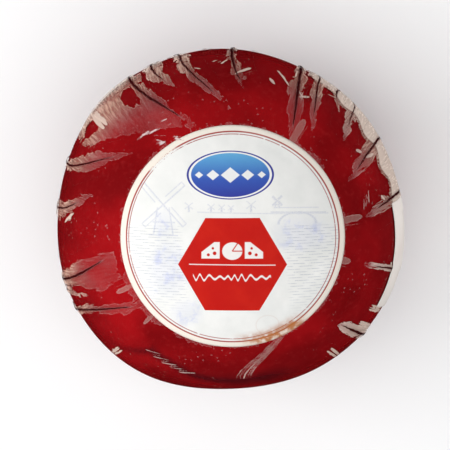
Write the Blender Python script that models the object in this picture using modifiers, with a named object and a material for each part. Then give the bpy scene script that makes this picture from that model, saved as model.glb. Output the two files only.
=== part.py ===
"""A ball of Edam cheese: waxed red, shrink-wrapped in clear film, with a round paper label on its
crown and a plain white sticker on its side. It stands on the flat that its own weight gives it.

Units are metres, +Z is up, and the origin is on the floor under the middle of the ball.
The pieces are modelled round the ball's centre, and an empty carries them to where they stand.
"""

import math

import bmesh
import bpy
from mathutils import Vector

# ---- driving dimensions ----------------------------------------------------------------------
BALL_RADIUS = 0.0745          # mean radius at the waist, over the film
HALF_HEIGHT = 0.066           # centre to crown, over the film
SQUARENESS = 2.25             # 2 is an ellipse; more gives the flat poles and full shoulders of the mould
FLAT_DEPTH = 0.002            # how much of the underside is pressed flat

LABEL_RADIUS = 0.0452
LABEL_OFF_CENTRE = (0.0018, -0.0012)
STICKER_WIDTH = 0.048         # round the waist
STICKER_HEIGHT = 0.058
STICKER_AZIMUTH = -8.7        # degrees from +X, of its middle
STICKER_POLAR = 89.0          # degrees from the crown, of its middle
STICKER_LEAN = 2.5            # degrees by which it was put on crooked
PAPER = 0.0004
GAP = 0.0003                  # clearance between a paper piece and the wrapped ball
SEAT_DEPTH = 0.0035           # thickness of the cutters, whose outer face is clear of the film

COLUMNS, ROWS = 112, 32       # facets of the ball, round and from crown to base
LABEL_SEGMENTS, LABEL_RINGS = 40, 6
STICKER_COLUMNS, STICKER_ROWS = 12, 12

# Hand-made unevenness of the waist: lobes round it, share of the radius, direction of a lobe in degrees.
LOBES = ((2, 0.0092, -17.0), (3, 0.0145, -15.0), (4, 0.0076, -43.0), (7, 0.0034, -12.0))

# The film's main pleats: azimuth in degrees, degrees from the crown where it starts, height over the film.
PLEATS = (
    (7, 50, 0.0007), (25, 46, 0.0009), (40, 50, 0.0006), (55, 46, 0.0007), (63, 40, 0.0010),
    (88, 46, 0.0010), (105, 42, 0.0007), (123, 40, 0.0018), (135, 44, 0.0009), (146, 50, 0.0008),
    (159, 46, 0.0011), (174, 50, 0.0008), (199, 42, 0.0012), (212, 42, 0.0009), (227, 58, 0.0006),
    (246, 56, 0.0007), (273, 44, 0.0011), (294, 58, 0.0006), (309, 58, 0.0006), (319, 50, 0.0009),
    (331, 58, 0.0006), (345, 50, 0.0010),
)
PLEAT_HALF_WIDTH = 0.0060
PLEAT_RUN_IN = 26.0           # degrees over which a pleat rises to its full height
PLEAT_RUN_OUT = (128.0, 160.0)  # degrees from the crown over which it dies away underneath

WAX_RED = (0.30, 0.004, 0.007, 1.0)
PAPER_WHITE = (0.86, 0.85, 0.82, 1.0)


# ---- scene -----------------------------------------------------------------------------------
def clear_scene():
    for item in list(bpy.data.objects):
        bpy.data.objects.remove(item)


def new_collection(name):
    found = bpy.data.collections.new(name)
    bpy.context.scene.collection.children.link(found)
    return found


def material(name, colour, roughness, coat=0.0):
    made = bpy.data.materials.new(name)
    made.use_nodes = True
    shader = made.node_tree.nodes["Principled BSDF"]
    shader.inputs["Base Color"].default_value = colour
    shader.inputs["Roughness"].default_value = roughness
    shader.inputs["Coat Weight"].default_value = coat
    return made


def new_object(name, shape, collection, centre, finish=None):
    """Turns a bmesh into an object that the ball's centre carries."""
    mesh = bpy.data.meshes.new(name)
    shape.to_mesh(mesh)
    shape.free()
    made = bpy.data.objects.new(name, mesh)
    collection.objects.link(made)
    made.parent = centre
    if finish:
        mesh.materials.append(finish)
    mesh.shade_smooth()
    mesh.set_sharp_from_angle(angle=math.radians(40))
    return made


# ---- the form of the wrapped ball ------------------------------------------------------------
def smooth_step(value, low, high):
    share = min(1.0, max(0.0, (value - low) / (high - low)))
    return share * share * (3 - 2 * share)


def angle_between(a, b):
    """The signed way from azimuth b to azimuth a, in degrees."""
    return (a - b + 180) % 360 - 180


def waist_radius(azimuth, polar):
    """The ball's half-width in this direction: lobed at the waist, round towards the poles."""
    lobes = sum(share * math.cos(math.radians(count * (azimuth - way))) for count, share, way in LOBES)
    return BALL_RADIUS * (1 + lobes * math.sin(math.radians(polar)) ** 2)


def pleat_height(azimuth, polar):
    """How far the film's pleats stand out here. Where two meet, the taller one counts."""
    out = 0.0
    across = BALL_RADIUS * math.sin(math.radians(polar))
    fade = 1 - smooth_step(polar, *PLEAT_RUN_OUT)
    for way, start, height in PLEATS:
        aside = abs(math.radians(angle_between(azimuth, way))) * across / PLEAT_HALF_WIDTH
        if aside < 1:
            rise = smooth_step(polar, start, start + PLEAT_RUN_IN)
            out = max(out, height * rise * fade * math.cos(aside * math.pi / 2) ** 2)
    return out


def surface_point(direction, outside=0.0):
    """The point of the wrapped ball in this direction from its centre, raised by outside."""
    polar = math.degrees(math.acos(max(-1.0, min(1.0, direction.z))))
    azimuth = math.degrees(math.atan2(direction.y, direction.x))
    level = math.hypot(direction.x, direction.y)
    wide = (level / waist_radius(azimuth, polar)) ** SQUARENESS
    tall = (abs(direction.z) / HALF_HEIGHT) ** SQUARENESS
    reach = (wide + tall) ** (-1 / SQUARENESS) + pleat_height(azimuth, polar) + outside
    point = direction * reach
    point.z = max(point.z, FLAT_DEPTH - HALF_HEIGHT)
    return point


def wrapped_cheese(collection, centre, finish):
    shape = bmesh.new()
    bmesh.ops.create_uvsphere(shape, u_segments=COLUMNS, v_segments=ROWS, radius=1.0)
    for vertex in shape.verts:
        vertex.co = surface_point(vertex.co.normalized())
    return new_object("wrapped_cheese", shape, collection, centre, finish)


# ---- paper pieces, each let into a seat in the film -------------------------------------------
def label_direction(x, y):
    """From a place on the flat label, radius 1, to its direction on the crown."""
    drop = (LABEL_RADIUS / BALL_RADIUS) ** SQUARENESS
    edge = math.atan2(LABEL_RADIUS, HALF_HEIGHT * (1 - drop) ** (1 / SQUARENESS))
    axis = Vector((*LABEL_OFF_CENTRE, HALF_HEIGHT)).normalized()
    side = Vector((0, 1, 0)).cross(axis).normalized()
    up = axis.cross(side)
    tilt = math.hypot(x, y) * edge
    turn = math.atan2(y, x)
    return math.cos(tilt) * axis + math.sin(tilt) * (math.cos(turn) * side + math.sin(turn) * up)


def sticker_direction(x, y):
    """From a place on the flat sticker, half-width and half-height 1, to its direction on the side."""
    lean = math.radians(STICKER_LEAN)
    across = x * STICKER_WIDTH / 2
    up = y * STICKER_HEIGHT / 2
    azimuth = math.radians(STICKER_AZIMUTH) + (across * math.cos(lean) - up * math.sin(lean)) / BALL_RADIUS
    polar = math.radians(STICKER_POLAR) - (across * math.sin(lean) + up * math.cos(lean)) / BALL_RADIUS
    level = math.sin(polar)
    return Vector((level * math.cos(azimuth), level * math.sin(azimuth), math.cos(polar)))


def disc(margin):
    """A flat disc of radius 1 as rings round a middle point, its rim moved out by margin, in metres."""
    shape = bmesh.new()
    bmesh.ops.create_circle(shape, cap_ends=True, segments=LABEL_SEGMENTS, radius=1.0)
    for _ in range(LABEL_RINGS - 1):
        face = next(f for f in shape.faces if len(f.verts) == LABEL_SEGMENTS)
        bmesh.ops.inset_individual(shape, faces=[face], thickness=1 / LABEL_RINGS)
    middle = next(f for f in shape.faces if len(f.verts) == LABEL_SEGMENTS)
    bmesh.ops.poke(shape, faces=[middle])
    for vertex in shape.verts:
        if vertex.is_boundary:
            vertex.co *= 1 + margin / LABEL_RADIUS
    return shape


def rectangle(margin):
    """A flat grid of half-width and half-height 1, its border moved out by margin, in metres."""
    shape = bmesh.new()
    bmesh.ops.create_grid(shape, x_segments=STICKER_COLUMNS, y_segments=STICKER_ROWS, size=1.0)
    for vertex in shape.verts:
        if vertex.is_boundary:
            vertex.co.x *= 1 + margin * 2 / STICKER_WIDTH
            vertex.co.y *= 1 + margin * 2 / STICKER_HEIGHT
    return shape


def draped(name, flat, direction_of, sunk, thickness, collection, centre, finish=None):
    """A flat shape laid on the ball, sunk below its surface and thickened outwards from there."""
    bmesh.ops.triangulate(flat, faces=flat.faces)
    for vertex in flat.verts:
        vertex.co = surface_point(direction_of(vertex.co.x, vertex.co.y), -sunk)
    bmesh.ops.recalc_face_normals(flat, faces=flat.faces)
    flat.faces.ensure_lookup_table()
    if flat.faces[0].normal.dot(flat.faces[0].calc_center_median()) < 0:
        bmesh.ops.reverse_faces(flat, faces=flat.faces)
    made = new_object(name, flat, collection, centre, finish)
    shell = made.modifiers.new("paper", "SOLIDIFY")
    shell.thickness = thickness
    shell.offset = 1.0
    shell.use_even_offset = True
    return made


def paper_piece(name, outline, direction_of, ball, pieces, cutters, centre, finish):
    """The paper lies half its thickness proud of the film, in a seat that clears it all round."""
    paper = draped(name, outline(0.0), direction_of, PAPER / 2, PAPER, pieces, centre, finish)
    seat = draped(name + "_seat", outline(GAP), direction_of, PAPER / 2 + GAP, SEAT_DEPTH, cutters, centre)
    seat.hide_render = True
    seat.display_type = "WIRE"
    cut = ball.modifiers.new(name + "_seat", "BOOLEAN")
    cut.operation = "DIFFERENCE"
    cut.object = seat
    return paper


# ---- putting it on the floor -----------------------------------------------------------------
def world_box(items):
    """Lowest and highest corners of these objects as evaluated."""
    bpy.context.view_layer.update()
    seen = bpy.context.evaluated_depsgraph_get()
    corners = [item.matrix_world @ vertex.co
               for item in items
               for vertex in item.evaluated_get(seen).data.vertices]
    low = Vector(min(corner[axis] for corner in corners) for axis in range(3))
    high = Vector(max(corner[axis] for corner in corners) for axis in range(3))
    return low, high


def main():
    clear_scene()
    pieces = new_collection("edam_ball")
    cutters = new_collection("cutters")
    centre = bpy.data.objects.new("ball_centre", None)
    pieces.objects.link(centre)

    wax = material("red_wax_under_film", WAX_RED, 0.32, coat=1.0)
    paper = material("label_paper", PAPER_WHITE, 0.45)
    ball = wrapped_cheese(pieces, centre, wax)
    label = paper_piece("round_label", disc, label_direction, ball, pieces, cutters, centre, paper)
    sticker = paper_piece("side_sticker", rectangle, sticker_direction, ball, pieces, cutters, centre,
                          paper)

    low, high = world_box([ball, label, sticker])
    centre.location = Vector((-(low.x + high.x) / 2, -(low.y + high.y) / 2, -low.z))


main()
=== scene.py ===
"""Looks of a ball of Edam: red wax, a printed label on its crown, clear shrink film with air in its
pleats, and a plain sticker on its side. Metres, +Z up; angles on the ball are degrees, azimuth from +X
and polar from the crown. Widths of pleats and sizes on the papers are millimetres.
"""
import math

import bpy
import numpy as np
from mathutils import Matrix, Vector


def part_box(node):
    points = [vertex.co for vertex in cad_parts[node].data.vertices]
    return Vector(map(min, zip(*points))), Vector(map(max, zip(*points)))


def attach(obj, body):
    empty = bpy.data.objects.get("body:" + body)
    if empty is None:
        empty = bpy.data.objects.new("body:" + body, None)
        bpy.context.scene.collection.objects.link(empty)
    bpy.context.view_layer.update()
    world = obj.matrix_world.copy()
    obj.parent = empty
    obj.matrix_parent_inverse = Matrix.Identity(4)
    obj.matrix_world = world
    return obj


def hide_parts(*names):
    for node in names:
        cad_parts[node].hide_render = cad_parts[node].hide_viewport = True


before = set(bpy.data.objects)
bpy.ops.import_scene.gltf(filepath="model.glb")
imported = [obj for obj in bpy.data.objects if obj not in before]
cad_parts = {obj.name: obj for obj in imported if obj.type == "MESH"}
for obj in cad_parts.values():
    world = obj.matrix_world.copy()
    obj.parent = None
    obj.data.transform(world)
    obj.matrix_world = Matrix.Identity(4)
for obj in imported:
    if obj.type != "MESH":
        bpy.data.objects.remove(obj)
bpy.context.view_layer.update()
MM = 0.001


# ---- The ball of cheese in its wax ---------------------------------------------------------------
# One pressed ball of cheese, dipped in red wax and still uneven from the mould and the hand.
# The film lies on it like a second skin, so where they touch the wax carries the film's gloss.
label_low, label_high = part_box("round_label")
ball_low, ball_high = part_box("wrapped_cheese")
LABEL_OFF_CENTRE = Vector((0.0018, -0.0011))
FLAT_DEPTH = 0.002
RADIUS = (ball_high.x - ball_low.x + ball_high.y - ball_low.y) / 4 + 0.25 * MM
HALF_HEIGHT = (label_high.z + FLAT_DEPTH) / 2
CENTRE = Vector((
    (label_low.x + label_high.x) / 2 - LABEL_OFF_CENTRE.x,
    (label_low.y + label_high.y) / 2 - LABEL_OFF_CENTRE.y,
    HALF_HEIGHT - FLAT_DEPTH,
))
SQUARENESS = 2.25
# Unevenness of the waist: lobes round it, share of the radius, direction of a lobe in degrees.
LOBES = ((2, 0.0092, -17.0), (3, 0.0145, -15.0), (4, 0.0076, -43.0), (7, 0.0034, -12.0))
WAX_SUNK = 0.35               # millimetres below the ball's smooth skin
DENTS = 26
DENT_DEPTH = 0.06
WAX_COLUMNS, WAX_ROWS = 240, 120


def direction(azimuth, polar):
    """The way from the ball's centre, as vectors of length 1."""
    level = np.sin(np.radians(polar))
    return np.stack([level * np.cos(np.radians(azimuth)), level * np.sin(np.radians(azimuth)),
                     np.cos(np.radians(polar))], axis=-1)


def body_reach(azimuth, polar):
    """From the ball's centre to its smooth skin, in metres."""
    level = np.sin(np.radians(polar))
    lobes = sum(share * np.cos(np.radians(count * (azimuth - way))) for count, share, way in LOBES)
    waist = RADIUS * (1 + lobes * level ** 2)
    up = np.abs(np.cos(np.radians(polar)))
    return ((level / waist) ** SQUARENESS + (up / HALF_HEIGHT) ** SQUARENESS) ** (-1 / SQUARENESS)


def dents(azimuth, polar):
    """The wax's soft unevenness, in millimetres: waves that cross the ball in seeded directions."""
    spot = direction(azimuth, polar)
    dice = np.random.default_rng(4)
    out = np.zeros(spot.shape[:-1])
    for _ in range(DENTS):
        way = dice.normal(size=3)
        waves = dice.uniform(4, 16)
        start = dice.uniform(0, 6.28)
        out += np.sin(spot @ way * waves / np.linalg.norm(way) + start) * DENT_DEPTH * 4 / waves
    return out


def on_ball(azimuth, polar, lift):
    """Points on the ball, lift millimetres off its smooth skin and never below the flat."""
    reach = body_reach(azimuth, polar) + (lift + dents(azimuth, polar)) * MM
    spot = direction(azimuth, polar) * reach[..., None]
    lowest = FLAT_DEPTH - HALF_HEIGHT - min(0.0, float(np.min(lift))) * MM
    spot[..., 2] = np.maximum(spot[..., 2], lowest)
    return spot + np.array(CENTRE)


def new_piece(name, points, faces, layers):
    """A mesh object from points and faces, with named layers of numbers on its points."""
    mesh = bpy.data.meshes.new(name)
    mesh.from_pydata(points.reshape(-1, 3).tolist(), [], faces)
    for layer, values in layers.items():
        kind = "FLOAT_VECTOR" if values.shape[-1] == 3 and values.ndim > 1 else "FLOAT"
        field = mesh.attributes.new(layer, kind, "POINT")
        field.data.foreach_set("vector" if kind == "FLOAT_VECTOR" else "value", values.reshape(-1))
    mesh.shade_smooth()
    mesh.update()
    made = bpy.data.objects.new(name, mesh)
    bpy.context.scene.collection.objects.link(made)
    return made


def ring_faces(rows, columns, closed_poles):
    """Faces of a grid that runs round: rows of columns points, then one point for each closed pole."""
    faces = []
    for row in range(rows - 1):
        for column in range(columns):
            after = (column + 1) % columns
            faces.append((row * columns + column, (row + 1) * columns + column,
                          (row + 1) * columns + after, row * columns + after))
    for pole in range(closed_poles):
        tip = rows * columns + pole
        edge = 0 if pole == 0 else (rows - 1) * columns
        for column in range(columns):
            pair = (edge + column, edge + (column + 1) % columns)
            faces.append((tip, *pair) if pole == 0 else (tip, *reversed(pair)))
    return faces


def closed_skin(name, columns, polars, lift_of, layers_of):
    """A closed skin round the ball: a ring of points at each polar angle and one point at each pole."""
    azimuth, polar = np.meshgrid(np.arange(columns) * 360 / columns, polars)
    azimuth = np.append(azimuth.reshape(-1), (0.0, 0.0))
    polar = np.append(polar.reshape(-1), (0.0, 180.0))
    layers = layers_of(azimuth, polar)
    lift = lift_of(azimuth, polar, layers)
    return new_piece(name, on_ball(azimuth, polar, lift), ring_faces(len(polars), columns, 2), layers)


class Tone:
    """One output of a material's nodes. Sums on it add Math nodes; node() adds any other."""

    def __init__(self, tree, socket=None):
        self.tree, self.socket = tree, socket

    def node(self, kind, settings, sockets, output=0):
        """Adds a node, its settings first and then its sockets, and gives one of its outputs."""
        made = self.tree.nodes.new(kind)
        for key, value in settings.items():
            if key == "stops":
                ramp = made.color_ramp.elements
                while len(ramp) < len(value):
                    ramp.new(0.5)
                for stop, (place, colour) in zip(ramp, value):
                    stop.position, stop.color = place, (*colour, 1.0)
            else:
                setattr(made, key, value)
        for key, value in sockets.items():
            if isinstance(value, Tone):
                self.tree.links.new(value.socket, made.inputs[key])
            else:
                made.inputs[key].default_value = value
        return Tone(self.tree, made.outputs[output])

    def math(self, operation, *others, clamp=False):
        settings = {"operation": operation, "use_clamp": clamp}
        return self.node("ShaderNodeMath", settings, dict(enumerate((self, *others))))

    def __add__(self, other):
        return self.math("ADD", other)

    def __sub__(self, other):
        return self.math("SUBTRACT", other)

    def __rsub__(self, other):
        return self.math("MULTIPLY_ADD", -1.0, other)

    def __mul__(self, other):
        return self.math("MULTIPLY", other)

    def __truediv__(self, other):
        return self.math("DIVIDE", other)

    def __abs__(self):
        return self.math("ABSOLUTE")

    __radd__ = __add__
    __rmul__ = __mul__

    def least(self, other):
        return self.math("MINIMUM", other)

    def most(self, other):
        return self.math("MAXIMUM", other)

    def rise(self, low, high):
        """0 below low and 1 above high, smooth in between. It falls instead where low is the larger."""
        sockets = {"Value": self, "From Min": min(low, high), "From Max": max(low, high)}
        risen = self.node("ShaderNodeMapRange", {"interpolation_type": "SMOOTHSTEP"}, sockets)
        return risen if low < high else 1 - risen

    def layer(self, name, output="Fac"):
        return self.node("ShaderNodeAttribute", {"attribute_name": name}, {}, output)

    def noise(self, spot, scale, detail=2.0, roughness=0.5):
        sockets = {"Vector": spot, "Scale": scale, "Detail": detail, "Roughness": roughness}
        return self.node("ShaderNodeTexNoise", {}, sockets)

    def mix(self, amount, under, over):
        """A colour or tone: under where amount is 0, over where it is 1."""
        under, over = ((*c, 1.0) if isinstance(c, tuple) else c for c in (under, over))
        return self.node("ShaderNodeMix", {"data_type": "RGBA"}, {0: amount, 6: under, 7: over}, 2)

    def bump(self, height, distance):
        """A normal from a height, of which 1 stands distance millimetres proud."""
        return self.node("ShaderNodeBump", {}, {"Height": height, "Distance": distance * MM})


def finish(name, fixed, varying_of):
    """A material: fixed values on its shader's own sockets, and what varying_of makes linked to them."""
    made = bpy.data.materials.new(name)
    made.use_nodes = True
    tree = made.node_tree
    shader = tree.nodes["Principled BSDF"]
    for key, value in fixed.items():
        shader.inputs[key].default_value = value
    for key, tone in varying_of(Tone(tree)).items():
        tree.links.new(tone.socket, shader.inputs[key])
    return made


def srgb(red, green, blue):
    """A colour named by its 0 to 255 screen values, as the linear light that materials use."""
    shares = (red / 255, green / 255, blue / 255)
    return tuple(c / 12.92 if c <= 0.04 else ((c + 0.055) / 1.055) ** 2.4 for c in shares)


def wax_look(start):
    spot = start.node("ShaderNodeTexCoord", {}, {}, "Object")
    cloudy = start.noise(spot, 34.0, 3.0)
    fine = start.noise(spot, 420.0, 3.0)
    painted_light = start.layer("shade")
    red = start.mix(cloudy.rise(0.3, 0.7), WAX_DEEP, WAX_BRIGHT)
    red = start.mix(fine.rise(0.52, 0.75) * 0.16, red, WAX_BLOOM)
    # painted shade: the sides darker than the crown, where they turn away from the overhead light
    red = start.mix(start.layer("low") * 0.6, red, WAX_SIDE_SHADE)
    # painted shade: a darker band low on the front, under the film's fold
    red = start.mix(painted_light, red, WAX_SHADE)
    height = start.noise(spot, 90.0, 2.0) + fine * 0.05
    return {
        "Base Color": red,
        "Roughness": cloudy * 0.1 + 0.36,
        "Normal": start.bump(height, 0.12),
    }


# The band of painted shade, as azimuths and what it is there: its polar angle, its strength, half its
# thickness.
SHADE_BAND_MIDDLE = ((225, 237, 246, 258, 272, 290, 300), (66, 52.5, 53.5, 58, 60.5, 61, 62))
SHADE_BAND_DEPTH = ((222, 236, 284, 298), (0, 1, 1, 0))
SHADE_BAND_THICK = ((225, 246, 258, 275), (3.0, 2.2, 3.0, 5.0))


def wax_layers(azimuth, polar):
    """A darker, duller band of painted shade low on the front, under the film's fold, and the share by
    which the sides are darker than the crown, also painted shade."""
    middle, depth, thick = (np.interp(azimuth, *shape) for shape in (SHADE_BAND_MIDDLE, SHADE_BAND_DEPTH, SHADE_BAND_THICK))
    shade = depth * np.exp(-((polar - middle) / thick) ** 2) * 0.8
    return {"shade": shade, "low": np.clip((polar - 50) / 26, 0, 1)}


WAX_BRIGHT = srgb(157, 16, 21)
WAX_DEEP = srgb(119, 10, 14)
WAX_SIDE_SHADE = srgb(110, 12, 16)
WAX_BLOOM = srgb(176, 48, 48)
WAX_SHADE = srgb(62, 12, 18)

wax = closed_skin("waxed_cheese", WAX_COLUMNS, np.linspace(1.5, 178.5, WAX_ROWS),
                  lambda azimuth, polar, layers: np.full_like(azimuth, -WAX_SUNK), wax_layers)
wax.data.materials.append(finish("red_wax", {
    "Coat Weight": 0.7, "Coat Roughness": 0.09, "Specular IOR Level": 0.0,
}, wax_look))
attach(wax, "root")


# ---- The round label -----------------------------------------------------------------------------
# Coated paper printed in four colours and laid on the crown before the ball was wrapped: two red
# hairlines round a pale picture of water and windmills, with a red hexagon and a blue oval on it.
LABEL_RADIUS = 45.2
LABEL_SUNK = 0.14
LABEL_PAPER = 0.1
LABEL_RINGS, LABEL_COLUMNS = 60, 160
LABEL_AXIS = Vector((*LABEL_OFF_CENTRE, HALF_HEIGHT)).normalized()
LABEL_SIDE = Vector((0, 1, 0)).cross(LABEL_AXIS).normalized()
LABEL_UP = LABEL_AXIS.cross(LABEL_SIDE)
LABEL_DROP = (LABEL_RADIUS * MM / RADIUS) ** SQUARENESS
LABEL_EDGE_HEIGHT = HALF_HEIGHT * (1 - LABEL_DROP) ** (1 / SQUARENESS)
LABEL_EDGE = math.degrees(math.atan2(LABEL_RADIUS * MM, LABEL_EDGE_HEIGHT))


def from_label(away, turn):
    """Azimuth and polar angle of a place on the label, away degrees from its middle."""
    away, turn = np.radians(away), np.radians(turn)
    spot = (np.cos(away)[..., None] * np.array(LABEL_AXIS)
            + (np.sin(away) * np.cos(turn))[..., None] * np.array(LABEL_SIDE)
            + (np.sin(away) * np.sin(turn))[..., None] * np.array(LABEL_UP))
    return np.degrees(np.arctan2(spot[..., 1], spot[..., 0])), np.degrees(np.arccos(spot[..., 2]))


def inside(distance, soft=0.1):
    """1 where a distance to an outline, in millimetres, is negative, and 0 outside."""
    return distance.math("MULTIPLY_ADD", -1 / soft, 0.5, clamp=True)


def stroke(x, y, start, end, half_width):
    """Distance to a straight stroke between two places."""
    run = (end[0] - start[0], end[1] - start[1])
    length = math.hypot(*run)
    along = (x - start[0]) * (run[0] / length) + (y - start[1]) * (run[1] / length)
    aside = abs((x - start[0]) * (-run[1] / length) + (y - start[1]) * (run[0] / length))
    past = abs(along - length / 2) - length / 2
    return (aside - half_width).most(past)


def oval(x, y, middle, across, up):
    """Distance to an upright oval with these half-widths."""
    wide, tall = (x - middle[0]) / across, (y - middle[1]) / up
    return ((wide * wide + tall * tall).math("SQRT") - 1) * min(across, up)


def hexagon(x, y, middle, apothem):
    """Distance to a hexagon with a flat top."""
    wide, tall = abs(x - middle[0]), abs(y - middle[1])
    return tall.most(wide * math.cos(math.radians(30)) + tall * 0.5) - apothem


def windmill(x, y, hub, size):
    """Distance to a windmill in line: four sails like ladders, a cap and a tower that widens down."""
    tone = None
    for turn in (42, 132, 222, 312):
        way = (math.cos(math.radians(turn)), math.sin(math.radians(turn)))
        tip = (hub[0] + way[0] * size, hub[1] + way[1] * size)
        side = (-way[1] * size * 0.16, way[0] * size * 0.16)
        near = (hub[0] + way[0] * size * 0.25, hub[1] + way[1] * size * 0.25)
        far = (tip[0] + side[0], tip[1] + side[1])
        spar = stroke(x, y, hub, tip, 0.24)
        edge = stroke(x, y, (near[0] + side[0], near[1] + side[1]), far, 0.16)
        rung = stroke(x, y, tip, far, 0.16)
        sail = spar.least(edge).least(rung)
        tone = sail if tone is None else tone.least(sail)
    for side in (-1, 1):
        top = (hub[0] + side * size * 0.2, hub[1] - size * 0.1)
        foot = (hub[0] + side * size * 0.34, hub[1] - size * 1.05)
        tone = tone.least(stroke(x, y, top, foot, 0.2))
    for level, half in ((0.6, 0.4), (1.05, 0.5)):
        tone = tone.least(stroke(x, y, (hub[0] - size * half, hub[1] - size * level),
                                 (hub[0] + size * half, hub[1] - size * level), 0.2))
    return tone


HEXAGON_MIDDLE = (-0.2, -10.0)
HEXAGON_APOTHEM = 18.7
OVAL_MIDDLE = (-1.0, 25.5)
OVAL_HALF = (17.1, 9.4)
HORIZON = 11.0
WATER_ROW = 1.15              # from one row of water to the next
SIGN_LEVEL = -4.6             # of the pictograms
OUTER_LINE, INNER_LINE = 42.6, 41.4


def far_mill(x, y, place, size):
    """Distance to a mill on the horizon: two crossed sails on a short post."""
    low, high = HORIZON + size * 0.8, HORIZON + size * 2.4
    post = stroke(x, y, (place, HORIZON), (place, HORIZON + size * 1.6), 0.35)
    sail = stroke(x, y, (place - size, low), (place + size, high), 0.12)
    return post.least(sail).least(stroke(x, y, (place - size, high), (place + size, low), 0.12))


def picture_lines(x, y):
    """Distance to the picture's drawn lines: a near mill, far ones, the shore and a bridge."""
    drawn = windmill(x, y, (-27.6, 13.6), 11.5)
    drawn = drawn.least(windmill(x, y, (17.5, HORIZON + 4.25), 2.5))
    for place, size in ((-17.5, 1.5), (-8.7, 1.3), (-4.5, 1.2), (-0.8, 1.1), (7.2, 1.8)):
        drawn = drawn.least(far_mill(x, y, place, size))
    arch = (abs(oval(x, y, (25.5, 6.0), 7.5, 4.6)) - 0.25).most(6.0 - y)
    for start, end, half in (
        ((-14, HORIZON), (38, HORIZON - 1.2), 0.12),
        ((15, 10.9), (37, 10.2), 0.2),
        ((18, 12.6), (34, 12.2), 0.12),
    ):
        drawn = drawn.least(stroke(x, y, start, end, half))
    return drawn.least(arch)


def picture(start, flat, x, y, tooth, paper):
    """The pale picture on its paper: a blue wash, rows of water and drawn lines."""
    row = (y / WATER_ROW).math("FLOOR")
    between = abs(y / WATER_ROW - row - 0.5)
    broken = (x * 0.8 + row * 2.3 + tooth * 3).math("SINE")
    water = between.rise(0.16, 0.05) * broken.rise(-0.85, -0.2)
    water = water * y.rise(HORIZON - 4.5, HORIZON - 7) * y.rise(-34.0, -20.0)
    water = water * (abs(x + y * 0.1) - 19).rise(0.0, 3.0)
    wash = start.noise(flat, 0.16, 4.0, 0.6).rise(0.5, 0.66)
    tint = oval(x, y, (-27.6, 6), 4.5, 7.0).rise(1.0, -3.0) * 0.8
    for middle, across, up, soft in (
        ((-26, -12), 9.0, 13.0, 5.0), ((-18, -30), 7.0, 6.0, 4.0), ((27, 2), 13.0, 8.0, 5.0),
    ):
        tint = tint.most(oval(x, y, middle, across, up).rise(1.5, -soft))
    drawn = inside(picture_lines(x, y), 0.5)
    ground = start.mix(tint * (wash * 0.7 + 0.25) * 0.6, paper, WATER_BLUE)
    ground = start.mix(water * tooth.rise(0.2, 0.6) * 0.62, ground, WATER_GREY)
    return start.mix(drawn * tooth.rise(0.25, 0.55) * 0.4, ground, LINE_BLUE)


def cheese_wedge(x, y, middle, side):
    """Distance to a wedge of cheese with three holes, its slope to this side."""
    level = y - SIGN_LEVEL
    wedge = (level - 3.7).most(-2.9 - level).most(abs(x - middle) - 3.6)
    wedge = wedge.most((x - middle) * (side * 0.62) + level * 0.78 - 2.0)
    for across, up, half in ((-1.6, -0.8, 0.75), (0.9, -1.4, 0.6), (-0.9, 1.2, 0.5)):
        hole = oval(x, y, (middle + side * across, SIGN_LEVEL + up), half, half)
        wedge = wedge.most(0 - hole)
    return wedge


def hexagon_marks(x, y):
    """Distance to what is white on the hexagon: a hairline, three cheeses over it, a wavy line below."""
    marks = stroke(x, y, (-17.4, -9.9), (16.8, -10.2), 0.17)
    sway = (x * 0.37).math("SINE")
    wave = (x * 1.9 + sway * 1.4).math("SINE") * (sway * 0.35 + 0.85)
    marks = marks.least(((abs(y + 15.2 - wave) - 0.42) * 0.6).most(abs(x + 0.4) - 15.4))
    for side in (-1, 1):
        marks = marks.least(cheese_wedge(x, y, side * 8.6 - 0.3, side))
    middle = (-0.3, SIGN_LEVEL + 0.1)
    ball = oval(x, y, middle, 4.0, 3.5)
    for cut in ((4.2, 0.0), (2.2, 3.2)):
        ball = ball.most(0 - stroke(x, y, middle, (middle[0] + cut[0], middle[1] + cut[1]), 0.22))
    return marks.least(ball)


def lozenges(x, y):
    """Distance to the row of white lozenges on the oval, the largest in the middle."""
    row = None
    for place, half in ((-12.4, 1.3), (-6.9, 2.0), (0.0, 3.0), (6.9, 2.0), (12.4, 1.3)):
        gem = (abs(x - (OVAL_MIDDLE[0] + place)) * 0.8 + abs(y - OVAL_MIDDLE[1]) - half) * 0.78
        row = gem if row is None else row.least(gem)
    return row


def hairlines(start, flat, x, y, away, tooth):
    """The two red rings near the edge, the inner one off-centre, both washed out at one place by painted
    glare.
    """
    # painted highlight: the film's glare over the rings, where they give way to the border
    painted_light = oval(x, y, (-27, 31), 9, 6).rise(1.0, -2.0) * tooth.rise(0.35, 0.5)
    inner = inside(abs(away + x * 0.006 - y * 0.004 - INNER_LINE) - 0.17, 0.2)
    inner = inner * start.noise(flat, 0.5, 2.0).rise(0.3, 0.42)
    lines = (inside(abs(away - OUTER_LINE) - 0.3, 0.22) * 0.95).most(inner * 0.9)
    return lines * (1 - painted_light)


def oil_marks(start, flat, x, y, away):
    """Where oil crept in under the film: a brown stain along the edge and a faint ring beside it."""
    stain = oval(x, y, (17.5, -38.0), 16.0, 8.0).rise(2.0, -3.5) * away.rise(37.5, 43.0)
    stain = stain * start.noise(flat, 0.35, 4.0).rise(0.25, 0.6)
    ring = inside(abs(oval(x, y, (14.0, -35.0), 4.6, 4.2)) - 0.12, 0.5)
    return stain * 0.95, ring * 0.16


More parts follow.
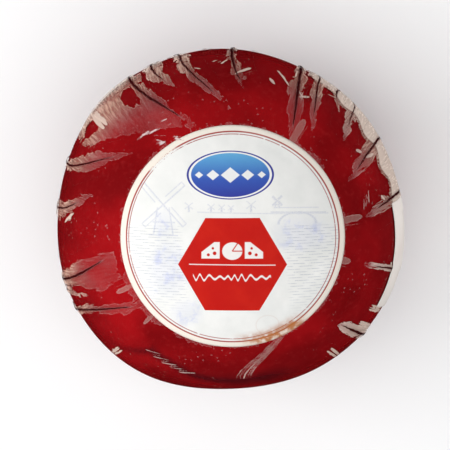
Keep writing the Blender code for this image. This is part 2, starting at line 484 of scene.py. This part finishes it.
def label_look(start):
    flat = start.layer("flat", "Vector")
    x, y = (start.node("ShaderNodeSeparateXYZ", {}, {0: flat}, axis) for axis in ("X", "Y"))
    away = (x * x + y * y).math("SQRT")
    tooth = start.noise(flat, 2.2, 3.0)
    cloud = start.noise(flat, 0.09, 3.0)
    paper = start.mix(cloud.rise(0.35, 0.7), PAPER_WHITE, PAPER_GREY)
    border = start.mix(tooth * 0.4, BORDER_CREAM, PAPER_WHITE)
    print_red = start.mix(cloud.rise(0.3, 0.7), HEXAGON_RED, HEXAGON_ORANGE)
    hexed = inside(hexagon(x, y, HEXAGON_MIDDLE, HEXAGON_APOTHEM))
    badge = oval(x, y, OVAL_MIDDLE, *OVAL_HALF)
    height = (y - OVAL_MIDDLE[1]) / OVAL_HALF[1] * 0.5 + 0.5 + tooth * 0.05
    blues = start.node("ShaderNodeValToRGB", {"stops": OVAL_BLUES}, {0: height})

    on_border = away.rise(OUTER_LINE - 0.3, OUTER_LINE - 0.1)
    colour = start.mix(on_border, picture(start, flat, x, y, tooth, paper), border)
    colour = start.mix(hexed, colour, print_red)
    colour = start.mix(hexed * inside(hexagon_marks(x, y), 0.25) * 0.95, colour, PAPER_WHITE)
    colour = start.mix(inside(badge - 0.1), colour, OVAL_EDGE)
    colour = start.mix(inside(badge + 0.35), colour, PAPER_WHITE)
    colour = start.mix(inside(badge + 0.85), colour, blues)
    colour = start.mix(inside(lozenges(x, y), 0.25) * 0.95, colour, PAPER_WHITE)
    colour = start.mix(hairlines(start, flat, x, y, away, tooth), colour, HAIRLINE_RED)
    for mark in oil_marks(start, flat, x, y, away):
        colour = start.mix(mark, colour, OIL_BROWN)
    return {
        "Base Color": colour,
        "Roughness": tooth * 0.15 + 0.42,
        "Normal": start.bump(start.noise(flat, 0.22, 2.0) + tooth * 0.02, 0.25),
    }


PAPER_WHITE = srgb(242, 241, 237)
PAPER_GREY = srgb(235, 235, 231)
BORDER_CREAM = srgb(243, 231, 216)
HEXAGON_RED = srgb(195, 17, 8)
HEXAGON_ORANGE = srgb(203, 27, 12)
HAIRLINE_RED = srgb(162, 36, 30)
WATER_BLUE = srgb(170, 180, 226)
WATER_GREY = srgb(160, 164, 180)
LINE_BLUE = srgb(138, 148, 190)
OIL_BROWN = srgb(186, 112, 56)
OVAL_EDGE = srgb(58, 62, 150)
OVAL_BLUES = ((0.0, srgb(52, 54, 148)), (0.45, srgb(60, 92, 180)), (0.85, srgb(92, 158, 210)),
              (1.0, srgb(106, 176, 218)))

rings = np.linspace(0, 1, LABEL_RINGS + 1)[1:]
turns = np.arange(LABEL_COLUMNS) * 360 / LABEL_COLUMNS
away, turn = np.meshgrid(rings, turns, indexing="ij")
away = np.append(away.reshape(-1), 0.0)
turn = np.append(turn.reshape(-1), 0.0)
azimuth, polar = from_label(away * LABEL_EDGE, turn)
flat = np.stack([away * np.cos(np.radians(turn)), away * np.sin(np.radians(turn)),
                 np.zeros_like(away)], axis=-1) * LABEL_RADIUS
label = new_piece("crown_label", on_ball(azimuth, polar, np.full_like(azimuth, -LABEL_SUNK)),
                  ring_faces(LABEL_RINGS, LABEL_COLUMNS, 1), {"flat": flat})
paper = label.modifiers.new("paper", "SOLIDIFY")
paper.thickness = LABEL_PAPER * MM
paper.offset = -1.0
label.data.materials.append(finish("printed_paper", {
    "Coat Weight": 0.6, "Coat Roughness": 0.12, "Specular IOR Level": 0.1,
}, label_look))
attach(label, "root")
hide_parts("round_label")


# ---- The clear film ------------------------------------------------------------------------------
# A bag of clear shrink film, drawn tight with warm air. It gathers in pleats that run from the
# label's edge down the sides; air is caught in them, and there the film stands off the wax, pale.
FILM_COLUMNS = 576
FILM_POLARS = np.concatenate([
    np.linspace(1.5, 33, 22),
    np.linspace(34, 92, 104),
    np.linspace(93.2, 178.5, 42),
])
FILM_OFF_BALL, AIR_LIFT = 0.06, 0.25
DOWN = RADIUS / MM * math.pi / 180     # millimetres to a degree of polar angle

# Pleats, each a line that leans most near its tip and runs straight down at the waist: azimuth of its
# tip and at the waist, degrees from the crown of its tip, the width of the air on its left and on its
# right at even steps from tip to waist, how far open the fold's dark line is, and how pale the film is.
# Left and right are as seen from the crown.
WAIST = 78.0
LEAN_POWER = 2.5
PLEATS = (
    (7, 11, 51, (0, 1.6, 2.1, 1.4, 1.8), (0, 1.8, 2.2, 1.8, 2.0), 0.7, 0.5),
    (24, 30, 47, (0, 2.7, 3.2, 1.8, 4.0), (0, 2.6, 3.2, 1.8, 4.0), 0.7, 0.3),
    (38, 43, 54, (0, 1.8, 2.2, 2.4, 5.0), (0, 1.6, 2.2, 2.4, 5.0), 0.35, 0.6),
    (47, 51, 64, (0, 1.2, 2.6), (0, 1.6, 3.0), 0.6, 0.5),
    (51, 58, 47, (0, 1.3, 1.9, 1.8, 1.2), (0, 1.4, 2.0, 2.0, 3.0), 0.5, 0.2),
    (57, 65, 40, (0.9, 2.7, 3.2, 2.0, 1.0), (0.9, 2.6, 3.0, 2.2, 2.0), 1.0, 0.1),
    (84, 89, 52, (0, 1.5, 2.0, 1.4, 1.0), (0, 2.4, 2.0, 1.0, 1.6), 1.0, 0.0),
    (90, 106, 45, (0, 2.4, 2.2, 1.8, 3.4), (0, 2.2, 2.0, 1.8, 3.6), 0.6, 0.2),
    (110, 116, 57, (0, 2.6, 3.0, 3.6), (0, 2.6, 2.6, 4.2), 0.55, 0.3),
    (108, 124, 40, (1.6, 14.6, 20.4, 27.5, 28.5, 28.0), (0.8, 1.8, 2.4, 2.6, 3.4, 4.0), 0.9, 0.0),
    (140, 159, 44, (0, 2.2, 4.0, 2.2, 1.4, 1.2), (0, 2.2, 4.6, 3.6, 1.6, 1.0), 0.6, 0.1),
    (165, 174, 52, (0, 2.0, 3.0, 4.2, 4.4), (0, 1.9, 2.5, 2.6, 2.2), 0.45, 0.1),
    (190, 198, 41, (8.4, 9.4, 7.0, 3.4, 3.2, 4.4), (0.8, 2.8, 3.4, 3.6, 3.0, 2.2), 0.8, 0.05),
    (205, 202, 59, (0, 1.0, 1.3, 1.4), (0, 0.7, 0.9, 1.2), 0.2, 0.4),
    (220, 209, 38, (0.6, 2.4, 1.3, 1.3, 1.5), (0.6, 1.7, 1.3, 1.3, 1.6), 0.7, 0.1),
    (320, 321, 51, (0, 2.4, 2.8, 2.0, 1.6), (0, 2.2, 2.6, 2.0, 1.6), 0.9, 1.0),
    (347, 346, 51, (0, 1.0, 2.2, 3.4), (0, 0.8, 1.7, 2.6), 0.6, 1.0),
)
# Short strokes, where the film only just lifts. Leaves start at the label's edge: azimuth, lower end
# and half-width. Twins lie side by side: azimuth, upper and lower end, half-width. Rungs are parallel:
# the first one's middle, the step to the next, how many, the run of each, half-width. Ticks are
# scattered: the middle of their stretch, half its width, how many.
LEAF_TOP = 37
LEAVES = ((7, 48, 1.5), (56, 49, 1.7), (208, 45, 1.2), (227, 44, 0.8), (347, 44, 1.6))
TWINS = (
    (140, 61, 76, 1.2), (228, 63, 73, 0.5), (310, 61, 73, 0.7), (324, 63, 77, 0.8), (331, 63, 74, 0.6),
)
RUNGS = (((12, 50), (1, 1.5), 3, (5, 1.2), 0.3), ((238, 52), (4, 1), 5, (6, -2), 0.38))
TICKS = ((76, 24, 10), (175, 6, 2), (24, 16, 4))
# A fold that starts beside the label and curls down in front, with two finer ones along it: how many
# degrees round each lies from the first, and its half-width.
CURL_TOP, CURL_LOW, CURL_WAY, CURL_SWEEP = 40, 58, 276, 22
CURLS = ((0, 0.5), (-3, 0.28), (2.5, 0.3))
# Bright strokes beside the label, where the taut film catches the light, scattered over a patch.
GLINT_COUNT, GLINT_WAYS, GLINT_POLARS = 11, (114, 136), (38, 47)
# Islands inside the broad pleat where the film has gone back onto the wax: place and half-sizes.
ISLANDS = ((127, 64, 3.2, 7.5), (144, 69, 5.0, 5.0), (119, 73, 1.5, 6.5), (111, 42, 1.6, 2.0))
# A long clear gap beside the broad pleat's fold: its places and half-width.
GAP_PLACES, GAP_HALF = ((117, 62), (113, 46)), 1.3
# A broad band of air low on the right, painted pale as a reflection of the bright room in the film: its
# ends, and where its inner edge comes nearest the crown.
BAND_FROM, BAND_TO = 4, 62
BAND_NEAREST_WAY, BAND_NEAREST, BAND_LOW = 22, 66, 112
# Folds under the ball, scattered: how many, and between which polar angles they start and end.
UNDER_FOLDS, UNDER_STARTS, UNDER_ENDS = 46, (86, 108), (112, 160)
# Where the film puckers most at the label's edge: direction from its middle, spread, height.
PUCKERS = ((212, 14, 0.9), (226, 6, 0.5), (42, 4, 0.8))


def smooth(value):
    value = np.clip(value, 0, 1)
    return value * value * (3 - 2 * value)


def turned(azimuth, other):
    """The signed way from one azimuth to another, in degrees."""
    return (azimuth - other + 180) % 360 - 180


def around(polar):
    """Millimetres to a degree of azimuth at this polar angle."""
    return np.sin(np.radians(polar)) * DOWN


def short_strokes(dice):
    """Yields the places of each short stroke, and the half-width in its middle."""
    for way, low, half in LEAVES:
        yield ((way, LEAF_TOP), (way, low)), half
    for way, high, low, half in TWINS:
        for side in (-0.9, 0.9):
            yield ((way + side, high), (way + side * 0.7, low)), half
    for (way, polar), (way_step, polar_step), count, (across, down), half in RUNGS:
        for rung in range(count):
            left = (way + rung * way_step - across / 2, polar + rung * polar_step - down / 2)
            yield (left, (left[0] + across, left[1] + down)), half
    shares = np.linspace(0, 1, 7)
    for lead, half in CURLS:
        ways = CURL_WAY + lead + CURL_SWEEP * (1 - shares) ** 2
        yield tuple(zip(ways, CURL_TOP + (CURL_LOW - CURL_TOP) * shares)), half
    for way, spread, count in TICKS:
        for _ in range(count):
            start = (way + dice.uniform(-spread, spread), dice.uniform(56, 72))
            end = (start[0] + dice.uniform(-6, 6), start[1] + dice.uniform(1, 8))
            yield (start, end), dice.uniform(0.4, 0.9)


def glint_strokes(dice):
    """Yields the places of each glint, and the half-width in its middle."""
    for _ in range(GLINT_COUNT):
        start = (dice.uniform(*GLINT_WAYS), dice.uniform(*GLINT_POLARS))
        end = (start[0] - dice.uniform(4, 9), start[1] - dice.uniform(0, 4.5))
        yield (start, end), dice.uniform(0.2, 0.55)


def under_folds(dice):
    """Yields the places of each fold under the ball, and the half-width in its middle."""
    for _ in range(UNDER_FOLDS):
        way, low, high = dice.uniform(0, 360), dice.uniform(*UNDER_ENDS), dice.uniform(*UNDER_STARTS)
        yield ((way, high), (way + dice.uniform(-9, 9), low)), dice.uniform(0.8, 2.6)


def along_line(azimuth, polar, places):
    """Signed distance aside of a line through places, in millimetres, the distance past its ends, and
    the share of the way along it."""
    best = np.full(azimuth.shape, 1e3)
    aside, past, share = (np.zeros(azimuth.shape) for _ in range(3))
    legs = len(places) - 1
    for leg, ((start_way, start), (end_way, end)) in enumerate(zip(places, places[1:])):
        wide = around((start + end) / 2)
        run = np.array((turned(end_way, start_way) * wide, (end - start) * DOWN))
        length = math.hypot(*run)
        x = turned(azimuth, start_way) * wide
        y = (polar - start) * DOWN
        along = (x * run[0] + y * run[1]) / length
        part = np.clip(along / length, 0, 1)
        gap = np.hypot(x - part * run[0], y - part * run[1])
        nearer = gap < best
        best = np.where(nearer, gap, best)
        aside = np.where(nearer, (x * run[1] - y * run[0]) / length, aside)
        past = np.where(nearer, np.abs(along - part * length), past)
        share = np.where(nearer, (leg + part) / legs, share)
    return aside, past, share


def taper(share, least=0.0):
    """The part of a line's half-width at this share of the way along it: pointed at both ends."""
    return np.sqrt(np.clip(4 * share * (1 - share), least, 1))


def line_depth(azimuth, polar, places, half, least=0.0):
    """How deep inside a pointed line each place is, in millimetres."""
    off, past, share = along_line(azimuth, polar, places)
    return half * taper(share, least) - np.hypot(off, past)


def pleats(azimuth, polar, dice):
    """How deep inside a pleat's air each place is, how far aside of the nearest fold, how far open that
    fold is, how far the film swells out there, and how pale it is."""
    air = np.full(azimuth.shape, -9.0)
    aside = np.full(azimuth.shape, 9.0)
    fold, swell, pale = (np.zeros(azimuth.shape) for _ in range(3))
    for tip_way, waist_way, tip, left, right, opening, whiteness in PLEATS:
        foot = WAIST + dice.uniform(26, 60) * min(1, 7 / max(left[-1], right[-1]))
        foot_way = waist_way + dice.uniform(-6, 6)
        below = polar - tip
        share = below / (WAIST - tip)
        beyond = np.clip((polar - WAIST) / (foot - WAIST), 0, 1)
        lean = np.clip(1 - share, 0, 1) ** LEAN_POWER
        middle = waist_way + (tip_way - waist_way) * lean + (foot_way - waist_way) * beyond
        off = turned(azimuth, middle) * around(polar)
        sides = (np.interp(share, np.linspace(0, 1, len(side)), side) for side in (left, right))
        width = np.where(off > 0, *sides) * (1 - beyond) ** 0.7
        past = np.maximum(-below, polar - foot) * DOWN
        air = np.maximum(air, np.minimum(width * 1.12 + 0.35 - np.abs(off), 0.6 - past))
        near = (np.abs(off) < np.abs(aside)) & (past < 0)
        aside = np.where(near, off, aside)
        fold = np.where(near, opening * smooth(below / 17) * (1 - beyond), fold)
        pale = np.where(near, whiteness * smooth(below / 4), pale)
        rise = smooth(below / 22) * (1 - beyond) * opening
        swell = np.maximum(swell, rise * 0.2 * np.exp(-(off / 1.8) ** 2))
    return air, aside, fold, swell, pale


def strokes(azimuth, polar, dice):
    """How far aside of the nearest short stroke each place is, and that stroke's half-width there."""
    line = np.full(azimuth.shape, 3.0)
    line_half = np.full(azimuth.shape, -1.0)
    for places, half in short_strokes(dice):
        off, past, share = along_line(azimuth, polar, places)
        half = half * (taper(share) * 0.7 + 0.3) - past
        near = (half - np.abs(off) > line_half - np.abs(line)) & (np.abs(off) < 2.4)
        line = np.where(near, off, line)
        line_half = np.where(near, half, line_half)
    return line, line_half


def label_place(azimuth, polar):
    """Where on the label's own flat a place on the ball is: millimetres from its middle, and turn."""
    spot = direction(azimuth, polar)
    tilt = np.degrees(np.arccos(np.clip(spot @ np.array(LABEL_AXIS), -1, 1)))
    turn = np.degrees(np.arctan2(spot @ np.array(LABEL_UP), spot @ np.array(LABEL_SIDE)))
    return tilt / LABEL_EDGE * LABEL_RADIUS, turn


def pucker(turn):
    """How far the film puckers at the label's edge in this direction from its middle."""
    out = 0.16 + 0.15 * np.sin(np.radians(turn * 9))
    for way, spread, height in PUCKERS:
        out += height * np.exp(-(turned(turn, way) / spread) ** 2)
    return out


def film_layers(azimuth, polar):
    """The numbers that the film carries on its points. Depths, widths and distances are millimetres."""
    dice = np.random.default_rng(11)
    air, aside, fold, swell, pale = pleats(azimuth, polar, dice)
    line, line_half = strokes(azimuth, polar, dice)
    glint = np.full(azimuth.shape, -2.0)
    for places, half in glint_strokes(dice):
        glint = np.maximum(glint, line_depth(azimuth, polar, places, half))
    inner = BAND_NEAREST + ((azimuth - BAND_NEAREST_WAY) / 13) ** 2 + 1.7 * np.sin(azimuth * 0.5)
    ends = np.minimum(azimuth - BAND_FROM, BAND_TO - azimuth) * around(polar)
    band = np.minimum(np.minimum(polar - inner, BAND_LOW - polar) * DOWN, ends)
    air = np.maximum(air, band)
    for way, place, wide, tall in ISLANDS:
        gap = np.hypot(turned(azimuth, way) * around(polar) / wide, (polar - place) * DOWN / tall)
        air = np.minimum(air, (gap - 1) * min(wide, tall))
    air = np.minimum(air, -line_depth(azimuth, polar, GAP_PLACES, GAP_HALF, 0.05))
    for places, half in under_folds(dice):
        air = np.maximum(air, line_depth(azimuth, polar, places, half))
    from_middle, turn = label_place(azimuth, polar)
    rim_gap = from_middle - LABEL_RADIUS
    puckered = pucker(turn)
    air = np.maximum(air, puckered - np.abs(rim_gap - puckered * 0.8))
    grain = np.stack([np.cos(np.radians(azimuth)) * 40, np.sin(np.radians(azimuth)) * 40,
                      polar * 0.07], axis=-1)
    return {
        "air": np.clip(air, -6, 6), "band": np.clip(band, -6, 6), "aside": np.clip(aside, -6, 6),
        "fold": fold, "swell": swell, "pale": pale, "line": line, "line_half": np.clip(line_half, -2, 3),
        "glint": glint, "polar": polar, "rim_gap": rim_gap, "grain": grain,
    }


def film_lift(azimuth, polar, layers):
    """Millimetres by which the film stands off the ball's smooth skin."""
    caught = smooth(layers["air"] / 2.4 + 0.2)
    return FILM_OFF_BALL + AIR_LIFT * caught + layers["swell"]


def film_look(start):
    spot = start.node("ShaderNodeTexCoord", {}, {}, "Object")
    air, aside, fold, pale = (start.layer(name) for name in ("air", "aside", "fold", "pale"))
    polar, rim_gap = start.layer("polar"), start.layer("rim_gap")
    line, line_half = start.layer("line"), start.layer("line_half")
    grain = start.layer("grain", "Vector")
    ragged = start.noise(spot, 300.0, 2.0, 0.5) - 0.5
    wobble = start.noise(spot, 125.0, 1.0) - 0.5
    fingers = start.noise(grain, 0.9, 2.0, 0.5) - 0.5
    threads = start.noise(grain, 2.4, 2.0, 0.5)
    broad = start.noise(spot, 80.0, 2.0)

    # how deep inside caught air: fingers along the pleat at its edges, clear gaps low down, and
    # below the waist only narrow tongues
    in_band = start.layer("band").rise(0.6, 2.6)
    gaps = start.noise(spot, 170.0, 2.0).rise(0.57, 0.66) * polar.rise(56.0, 68.0)
    gaps = gaps * (1 - in_band) * 2.4
    slits = start.noise(grain, 3.0, 1.0).rise(0.6, 0.66) * (1 - in_band) * 1.3
    under = polar.rise(84.0, 100.0)
    edge = air + wobble * 2.6 + fingers * 4.0 + ragged * 1.4 - gaps - slits
    edge = edge - under * fingers.rise(-0.03, 0.05) * 8.0
    stroke_depth = line_half + ragged * 0.9 - abs(line + ragged * 0.7)
    depth = edge.most(stroke_depth)
    caught = depth.rise(-0.06, 0.12)
    stroked = stroke_depth.rise(0.0, 0.3)

    # the veil itself: barely there by the label, denser and paler towards the outline and in the band low
    # on the right. The air pockets are pale in their own right; the rise towards the outline and in the
    # band is a painted reflection of the bright room in the film at grazing angles
    veil = start.mix(polar.rise(50.0, 66.0), VEIL_PINK, VEIL_BEIGE)
    light = polar.rise(70.0, 82.0).most(in_band * 0.9).most(stroked.most(pale) * 0.7)
    veil = start.mix(light, veil, VEIL_LIGHT)
    body = polar.rise(50.0, 72.0) * 0.38 + polar.rise(70.0, 84.0) * 0.26 + 0.07
    body = body * (threads.rise(0.3, 0.7) * 0.8 + 0.6) * (broad.rise(0.3, 0.7) * 0.7 + 0.6)
    body = body.most(pale * 0.62)
    body = body.most(in_band * 0.8).most(stroked * (polar.rise(46.0, 62.0) * 0.56 + 0.18))
    body = body * (1 - under * (threads.rise(0.62, 0.35) * 0.55 + 0.25))
    outline = depth.rise(0.6, 0.1) * caught * 0.17

    # marks on the taut film: dots of dirt and trapped air, and glints by the label
    cells = start.node("ShaderNodeTexVoronoi", {}, {"Vector": spot, "Scale": 420.0}, "Distance")
    specks = cells.rise(0.2, 0.12) * start.noise(spot, 75.0, 1.0).rise(0.5, 0.6) * 0.2
    glint = (start.layer("glint") + ragged * 1.2).rise(-0.1, 0.4) * ragged.rise(-0.25, 0.1) * 0.7

    # folds: a crisp dark line of painted shade in the crease, with a soft painted shadow along it
    crack = abs(aside + ragged * 0.7 + fingers * 0.6)
    dark = (crack / (fold + 0.3)).rise(0.75, 0.3) * fold.rise(0.03, 0.25)
    shade = crack.rise(2.0, 0.3) * fold * caught * 0.4
    alpha = (caught * body + outline).most(specks).least(0.96)
    alpha = alpha.most(dark * 0.85) * rim_gap.rise(-1.0, 0.2)
    colour = start.mix(shade, veil, FOLD_SHADE)
    colour = start.mix(dark, colour, FOLD_DARK)
    colour = start.mix(glint, colour, GLINT_WHITE)
    height = threads * 0.3 + (broad * 0.5 + crack.rise(0.0, 0.6) * fold) * (1 - in_band * 0.7)
    return {
        "Base Color": colour,
        "Alpha": alpha.most(glint),
        "Roughness": threads * 0.2 + 0.16,
        "Normal": start.bump(height, 0.3),
    }


VEIL_PINK = srgb(232, 172, 172)
VEIL_BEIGE = srgb(222, 178, 158)
VEIL_LIGHT = srgb(236, 218, 204)
FOLD_SHADE = srgb(112, 50, 46)
FOLD_DARK = srgb(60, 12, 15)
GLINT_WHITE = srgb(250, 240, 238)

film = closed_skin("shrink_film", FILM_COLUMNS, FILM_POLARS, film_lift, film_layers)
film.data.materials.append(finish("clear_film", {"Specular IOR Level": 0.15}, film_look))
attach(film, "root")
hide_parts("wrapped_cheese")
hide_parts("wrapped_cheese")


# ---- The sticker on the side ---------------------------------------------------------------------
# A plain white paper sticker, pressed on over the film by hand and a little crooked. The pleats
# below it show through as soft ridges.
STICKER_WIDTH, STICKER_HEIGHT = 48.0, 58.0
STICKER_AZIMUTH, STICKER_POLAR, STICKER_LEAN = -8.7, 89.0, 2.5
STICKER_OFF_FILM = 0.12
STICKER_PAPER = 0.1
STICKER_COLUMNS, STICKER_ROWS = 96, 116

x, y = np.meshgrid(np.linspace(-0.5, 0.5, STICKER_COLUMNS) * STICKER_WIDTH,
                   np.linspace(-0.5, 0.5, STICKER_ROWS) * STICKER_HEIGHT)
lean = math.radians(STICKER_LEAN)
azimuth = STICKER_AZIMUTH + (x * math.cos(lean) - y * math.sin(lean)) / DOWN
polar = STICKER_POLAR - (x * math.sin(lean) + y * math.cos(lean)) / DOWN
below = film_lift(azimuth, polar, film_layers(azimuth % 360, polar))
faces = [(row * STICKER_COLUMNS + column, row * STICKER_COLUMNS + column + 1,
          (row + 1) * STICKER_COLUMNS + column + 1, (row + 1) * STICKER_COLUMNS + column)
         for row in range(STICKER_ROWS - 1) for column in range(STICKER_COLUMNS - 1)]
flat = np.stack([x, y, np.zeros_like(x)], axis=-1)
sticker = new_piece("side_label", on_ball(azimuth, polar, below + STICKER_OFF_FILM + STICKER_PAPER), faces,
                    {"flat": flat})
paper = sticker.modifiers.new("paper", "SOLIDIFY")
paper.thickness = STICKER_PAPER * MM
paper.offset = -1.0


def sticker_look(start):
    flat = start.layer("flat", "Vector")
    tooth = start.noise(flat, 1.8, 3.0)
    cloud = start.noise(flat, 0.07, 3.0)
    colour = start.mix(cloud.rise(0.35, 0.7), STICKER_WHITE, STICKER_SHADE)
    return {
        "Base Color": colour,
        "Roughness": tooth * 0.15 + 0.4,
        "Normal": start.bump(start.noise(flat, 0.12, 2.0) + tooth * 0.03, 0.3),
    }


STICKER_WHITE = srgb(248, 239, 231)
STICKER_SHADE = srgb(241, 227, 219)
sticker.data.materials.append(finish("sticker_paper", {
    "Coat Weight": 0.3, "Coat Roughness": 0.2,
}, sticker_look))
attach(sticker, "root")
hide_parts("side_sticker")


# ---- Floor, light and camera ---------------------------------------------------------------------
# A plain pale floor under a broad soft light from the left. The film mirrors only the soft boxes at
# shoulder height, so from above it stays clear.
bpy.ops.mesh.primitive_grid_add(x_subdivisions=2, y_subdivisions=2, size=8.0, location=(0, 0, -0.0002))
floor = bpy.context.object
floor.name = "floor"


def floor_look(start):
    spot = start.node("ShaderNodeTexCoord", {}, {}, "Object")
    return {"Base Color": start.mix(start.noise(spot, 6.0, 2.0), FLOOR_SHADE, FLOOR_WHITE)}


FLOOR_SHADE = (0.97, 0.965, 0.96)
FLOOR_WHITE = (0.985, 0.98, 0.975)

floor.data.materials.append(finish("pale_floor", {
    "Roughness": 0.9, "Specular IOR Level": 0.0,
}, floor_look))
floor.visible_glossy = False


def panel(name, spot, aim, size, watts, gloss):
    """A soft rectangular light that faces a place. Gloss says whether the film mirrors it."""
    lamp = bpy.data.lights.new(name, "AREA")
    lamp.shape = "RECTANGLE"
    lamp.size, lamp.size_y = size
    lamp.energy = watts
    made = bpy.data.objects.new(name, lamp)
    bpy.context.scene.collection.objects.link(made)
    made.location = Vector(spot)
    made.rotation_euler = (Vector(aim) - Vector(spot)).to_track_quat("-Z", "Y").to_euler()
    made.visible_camera = False
    made.visible_glossy = gloss
    made.visible_diffuse = not gloss
    return made


# Broad light for the surfaces, none of it mirrored in the film
for name, spot, size, watts in (
    ("overhead", (-0.2, -0.42, 1.55), 2.2, 18.0),
    ("left_side", (-1.7, 0.1, 0.8), 1.3, 20.0),
    ("right_side", (1.7, 0.0, 0.5), 1.2, 2.8),
):
    panel(name, spot, CENTRE, (size, size), watts, False)

# White cards that lie low round the right and the back, and light only what leans over them
for way, away, size, watts in ((22, 0.17, (0.28, 0.16), 0.32), (118, 0.16, (0.16, 0.12), 0.09)):
    turn = math.radians(way)
    spot = Vector((math.cos(turn) * away, math.sin(turn) * away, 0.004))
    card = panel("low_card", spot, spot + Vector((0, 0, 1)), size, watts, False)
    card.rotation_euler = (math.pi, 0, turn + math.pi / 2)

# Soft boxes at shoulder height, mirrored by the shoulders and the sides of the ball
for way in (62, 205, 318):
    turn = math.radians(way)
    spot = CENTRE + Vector((math.cos(turn) * 1.1, math.sin(turn) * 1.1, 0.86))
    panel("soft_box", spot, CENTRE, (0.8, 0.2), 1.0, True)

world = bpy.data.worlds.new("studio")
bpy.context.scene.world = world
world.use_nodes = True
world.cycles_visibility.glossy = False
world.node_tree.nodes["Background"].inputs["Color"].default_value = (0.95, 0.97, 1.0, 1.0)
world.node_tree.nodes["Background"].inputs["Strength"].default_value = 0.42

CAMERA_DISTANCE = 0.80
CAMERA_TILT = 5.75
SENSOR, FOCAL = 36.0, 148.0
AIM_LEFT, AIM_LOW = 1.384, 1.773     # the view's middle from the ball's middle, in millimetres
camera = bpy.data.objects.new("camera", bpy.data.cameras.new("camera"))
bpy.context.scene.collection.objects.link(camera)
camera.data.sensor_width = SENSOR
camera.data.lens = FOCAL
camera.rotation_euler = (-math.radians(CAMERA_TILT), 0, 0)
tilt = math.radians(CAMERA_TILT)
back = Vector((0, math.sin(tilt), math.cos(tilt)))
aim = CENTRE - Vector((AIM_LEFT, AIM_LOW * math.cos(tilt), -AIM_LOW * math.sin(tilt))) * MM
camera.location = aim + back * CAMERA_DISTANCE
bpy.context.scene.camera = camera
bpy.context.scene.view_settings.view_transform = "Standard"
